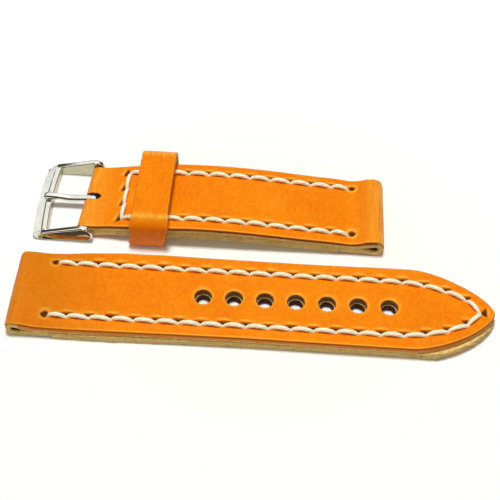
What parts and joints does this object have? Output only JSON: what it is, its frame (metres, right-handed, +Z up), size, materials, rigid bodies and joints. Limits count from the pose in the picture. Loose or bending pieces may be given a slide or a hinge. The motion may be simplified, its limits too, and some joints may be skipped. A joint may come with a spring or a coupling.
{
  "type": "watch strap",
  "caption": "Stitched leather watch strap lying open, with a pointed end, punched holes, a keeper loop and a hinged pin buckle on a spring bar.",
  "frame": {"origin": "on the floor, in the middle of the layout's bounding box", "axes": "+X along both halves towards the pointed end, +Y from the long half to the short half, +Z up"},
  "size_m": [0.12, 0.0556, 0.0107],
  "materials": {
    "grain_leather": "smooth orange-tan grain side with burnished edges",
    "raw_leather": "undyed raw flesh-side lining",
    "thread": "waxed cream thread",
    "polished_steel": "mirror-polished stainless steel",
    "plain_steel": "drawn stainless steel"
  },
  "bodies": {
    "short_half": {"short_top_leather": "grain_leather", "short_lining": "raw_leather", "short_stitching": "thread", "spring_bar_tube": "plain_steel", "spring_bar_spring": "plain_steel"},
    "keeper": {"keeper_loop": "grain_leather", "keeper_stitch": "thread"},
    "buckle": {"buckle_frame": "polished_steel"},
    "tongue": {"buckle_tongue": "polished_steel"},
    "tip_front": {"spring_bar_tip_front": "plain_steel"},
    "tip_back": {"spring_bar_tip_back": "plain_steel"},
    "long_half": {"long_top_leather": "grain_leather", "long_lining": "raw_leather", "long_stitching": "thread"}
  },
  "joints": [
    {"name": "buckle_pivot", "type": "hinge", "parent": "short_half", "child": "buckle", "pos_m": [-0.0447, 0.01463, 0.0024], "axis": [0, 1, 0], "range_deg": [-75, 40]},
    {"name": "tongue_pivot", "type": "hinge", "parent": "buckle", "child": "tongue", "pos_m": [-0.0447, 0.01463, 0.0024], "axis": [0, 1, 0], "range_deg": [0, 65]},
    {"name": "keeper_slide", "type": "slide", "parent": "short_half", "child": "keeper", "axis": [1, 0, 0], "range_m": [-0.002, 0.031]},
    {"name": "tip_front_push", "type": "slide", "parent": "short_half", "child": "tip_front", "axis": [0, 1, 0], "range_m": [0, 0.001], "stiffness_N_per_m": 1500, "springref_m": -0.001, "deforming": ["spring_bar_spring"]},
    {"name": "tip_back_push", "type": "slide", "parent": "short_half", "child": "tip_back", "axis": [0, -1, 0], "range_m": [0, 0.001], "stiffness_N_per_m": 1500, "springref_m": -0.001, "deforming": ["spring_bar_spring"]},
    {"name": "long_half_lift", "type": "slide", "parent": "short_half", "child": "long_half", "axis": [0, 0, 1], "range_m": [0, 0.03]}
  ]
}
